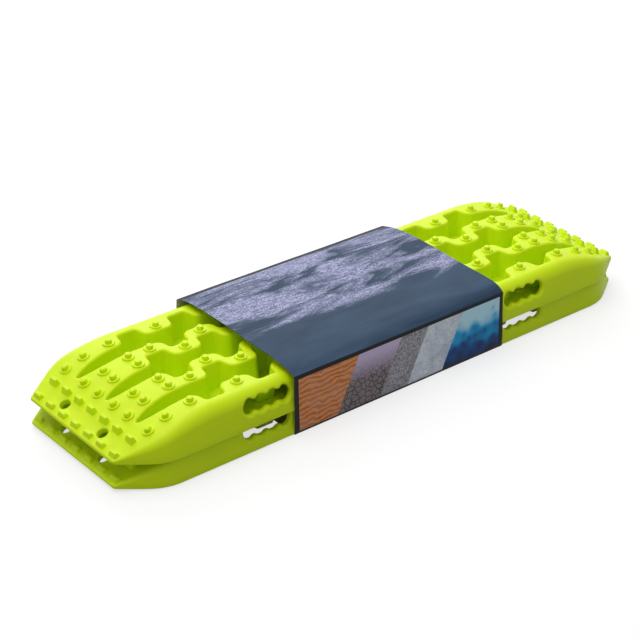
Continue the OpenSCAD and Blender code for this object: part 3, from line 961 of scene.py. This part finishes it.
def card_ring(u):
    """Outer points at share u of the length: y, z, panel, folds on both sides and share between them."""
    blend = u * u * (3 - 2 * u)
    width = 2 * SLEEVE_HW
    top_y = np.linspace(SLEEVE_HW - TOP_FOLD_IN, -SLEEVE_HW + TOP_FOLD_IN, TOP_POINTS)
    top_z = [(1 - blend) * top_height(LEFT_FALL, y) + blend * top_height(RIGHT_FALL, y)
             - SAG * math.sin(u * SAG_LENGTHWISE + y * SAG_ACROSS) ** 2 for y in top_y]
    ring = []
    for y in np.linspace(-SLEEVE_HW + FOLD, FLAP_Y - FLAP_EDGE, UNDER_POINTS):
        ring.append((y, FLAP_STEP, UNDER, "front_low", "rear_low", (y + SLEEVE_HW) / width))
    for y in np.linspace(FLAP_Y + FLAP_EDGE, SLEEVE_HW - FOLD, FLAP_POINTS):
        ring.append((y, 0.0, UNDER, "front_low", "rear_low", (y + SLEEVE_HW) / width))
    for turn in (30, 60):
        run, rise = fold_point(turn)
        ring.append((SLEEVE_HW - FOLD + run, rise, REAR, "rear_low", "rear_top", 0.0))
    for k in np.linspace(0, 1, REAR_POINTS):
        y = SLEEVE_HW - REAR_HOLLOW * math.sin(math.pi * k)
        ring.append((y, FOLD + (top_z[0] - TOP_FOLD_DOWN - FOLD) * k, REAR, "rear_low", "rear_top", k))
    for y, z in zip(top_y, top_z):
        ring.append((y, z, TOP, "rear_top", "front_top", (SLEEVE_HW - y) / width))
    for k in np.linspace(0, 1, FRONT_POINTS):
        y = -SLEEVE_HW + FRONT_HOLLOW * math.sin(math.pi * k) * math.sin(math.pi * u)
        z = top_z[-1] - TOP_FOLD_DOWN - (top_z[-1] - TOP_FOLD_DOWN - FOLD) * k
        ring.append((y, z, FRONT, "front_top", "front_low", k))
    for turn in (60, 30):
        run, rise = fold_point(turn)
        rise += FLAP_STEP * (1 - turn / 90)
        ring.append((-SLEEVE_HW + FOLD - run, rise, FRONT, "front_top", "front_low", 1.0))
    return ring


def card_section(ring, u):
    """Outer and inner points of a section, set lengthwise by the ends of the folds."""
    outer, inner = [], []
    for j, (y, z, _, fold, next_fold, k) in enumerate(ring):
        left, right = (a + (b - a) * k for a, b in zip(ENDS[fold], ENDS[next_fold]))
        x = left + (right - left) * u
        x += END_WAVE * math.sin(END_ACROSS * y + END_UP * z) * (abs(2 * u - 1) ** END_FADE)
        before, after = ring[j - 1], ring[(j + 1) % len(ring)]
        along_y, along_z = after[0] - before[0], after[1] - before[1]
        length = math.hypot(along_y, along_z)
        outer.append((x, y, z))
        inner.append((x, y - CARD_T * along_z / length, z + CARD_T * along_y / length))
    return outer + inner


def fold_panel(a, b):
    """The panel whose print covers the faces between panels a and b."""
    return TOP if {a, b} == {TOP, REAR} else max(a, b)


def sleeve_mesh():
    verts, faces, slots = [], [], []
    for i in range(CARD_N + 1):
        ring = card_ring(i / CARD_N)
        verts += card_section(ring, i / CARD_N)
    panels = [point[2] for point in ring]
    m = len(ring)
    for i in range(CARD_N):
        a, b = i * 2 * m, (i + 1) * 2 * m
        for j in range(m):
            k = (j + 1) % m
            faces.append((a + j, b + j, b + k, a + k))
            slots.append(fold_panel(panels[j], panels[k]))
            faces.append((a + m + k, b + m + k, b + m + j, a + m + j))
            slots.append(INSIDE)
    for i in (0, CARD_N):
        a = i * 2 * m
        for j in range(m):
            k = (j + 1) % m
            q = (a + j, a + k, a + m + k, a + m + j)
            faces.append(q if i == 0 else q[::-1])
            slots.append(CUT_EDGE)
    mesh = bpy.data.meshes.new("card_tube")
    mesh.from_pydata([tuple(c * MM for c in v) for v in verts], [], faces)
    mesh.polygons.foreach_set("material_index", slots)
    bm = bmesh.new()
    bm.from_mesh(mesh)
    bmesh.ops.recalc_face_normals(bm, faces=bm.faces)
    bm.to_mesh(mesh)
    bm.free()
    mesh.shade_smooth()
    mesh.set_sharp_from_angle(angle=math.radians(38))
    return mesh


# The pieces: two boards of one mesh, and the sleeve with a material in each of its slots
lime = plastic()
mesh = board_mesh()
mesh.materials.clear()
mesh.materials.append(lime)
for name, lift in (("lower_board", STAND), ("upper_board", STAND + NEST)):
    board = new_object("moulded_" + name, mesh)
    board.location = (0, 0, lift * MM)
    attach(board, "boards")
    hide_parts(name)

sleeve = new_object("printed_sleeve", sleeve_mesh())
for made in (top_print(), front_print(),
             plain_print("printed_rear", srgb(40, 54, 70), srgb(56, 74, 92)),
             plain_print("printed_under", srgb(30, 36, 44), srgb(40, 48, 58)),
             raw_card("card_inside", srgb(176, 176, 168), srgb(206, 206, 198)),
             raw_card("card_edge", srgb(70, 74, 78), srgb(96, 100, 104))):
    sleeve.data.materials.append(made)
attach(sleeve, "sleeve")
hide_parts("card_sleeve")

# Camera: where the photograph was taken from. Focal length and width of the picture in pixels, angles in
# degrees, and the middle of the lower board's rim plane as the camera sees it: right, down and away
FOCAL, PICTURE_W, SENSOR = 1880.19, 640, 36.0
AZIMUTH, ELEVATION, ROLL = -40.922, 29.736, 1.891
SEEN_RIGHT, SEEN_DOWN, SEEN_AWAY = 35.287, 47.258, 3109.311
az, el, roll = (math.radians(v) for v in (AZIMUTH, ELEVATION, ROLL))
away = -Vector((math.sin(az) * math.cos(el), -math.cos(az) * math.cos(el), math.sin(el)))
right = away.cross(Vector((0, 0, 1))).normalized()
up = right.cross(away)
right, up = (math.cos(roll) * right + math.sin(roll) * up, -math.sin(roll) * right + math.cos(roll) * up)
eye = -(right * SEEN_RIGHT - up * SEEN_DOWN + away * SEEN_AWAY) + Vector((0, 0, STAND))
cam = new_object("camera", bpy.data.cameras.new("camera"))
cam.matrix_world = Matrix.Translation(eye * MM) @ Matrix((right, up, -away)).transposed().to_4x4()
cam.data.sensor_width = SENSOR
cam.data.lens = FOCAL / PICTURE_W * SENSOR
cam.data.clip_end = 50
scene.camera = cam

# Stage: level of the sky, power of the lamps in watts; the floor's colour, glow, height and half width
SKY, KEY_W, RIM_W = 0.44, 28.0, 30.0
FLOOR_ALBEDO, FLOOR_GLOW, FLOOR_Z, FLOOR_HALF = 0.34, 0.69, -0.0003, 12.0


def seen_share(tree):
    """1 for rays from the camera, in reflections and through clear things, else 0."""
    path = tree.nodes.new("ShaderNodeLightPath")
    total = path.outputs["Is Camera Ray"]
    for name in ("Is Glossy Ray", "Is Transmission Ray"):
        both = tree.nodes.new("ShaderNodeMath")
        both.operation = "MAXIMUM"
        tree.links.new(total, both.inputs[0])
        tree.links.new(path.outputs[name], both.inputs[1])
        total = both.outputs[0]
    return total


def level(tree, lit, seen):
    """One strength for the light on the object and another for what is seen."""
    node = tree.nodes.new("ShaderNodeMapRange")
    node.inputs["To Min"].default_value = lit
    node.inputs["To Max"].default_value = seen
    tree.links.new(seen_share(tree), node.inputs[0])
    return node.outputs[0]


def area(name, at, aim, size, watts):
    """A soft rectangular lamp."""
    light = bpy.data.lights.new(name, "AREA")
    light.shape = "RECTANGLE"
    light.size, light.size_y = size
    light.energy = watts
    lamp = new_object(name, light)
    lamp.location = at
    lamp.rotation_euler = (Vector(aim) - Vector(at)).to_track_quat("-Z", "Y").to_euler()


def pale_floor():
    n = Nodes("pale_floor")
    n.shade("Base Color", (FLOOR_ALBEDO, FLOOR_ALBEDO, FLOOR_ALBEDO, 1))
    n.shade("Roughness", 1.0)
    n.shade("Specular IOR Level", 0.0)
    n.shade("Emission Color", (1, 1, 1, 1))
    n.shade("Emission Strength", level(n.tree, 0.0, FLOOR_GLOW))
    return n.mat


world = bpy.data.worlds.new("studio")
scene.world = world
world.use_nodes = True
back = world.node_tree.nodes["Background"]
back.inputs["Color"].default_value = (1, 1, 1, 1)
world.node_tree.links.new(level(world.node_tree, SKY, 1.0), back.inputs["Strength"])
area("key", (-0.6, 0.3, 2.3), (0, 0, 0.05), (1.9, 1.5), KEY_W)
area("rim", (0.9, 1.75, 1.5), (0, 0, 0.08), (2.4, 1.4), RIM_W)
quarters = ((-1, -1), (1, -1), (1, 1), (-1, 1))
corners = [(sx * FLOOR_HALF, sy * FLOOR_HALF, FLOOR_Z) for sx, sy in quarters]
ground = new_object("floor", clean_mesh("floor", corners, [(0, 1, 2, 3)]))
ground.data.materials.append(pale_floor())

scene.view_settings.view_transform = "Standard"
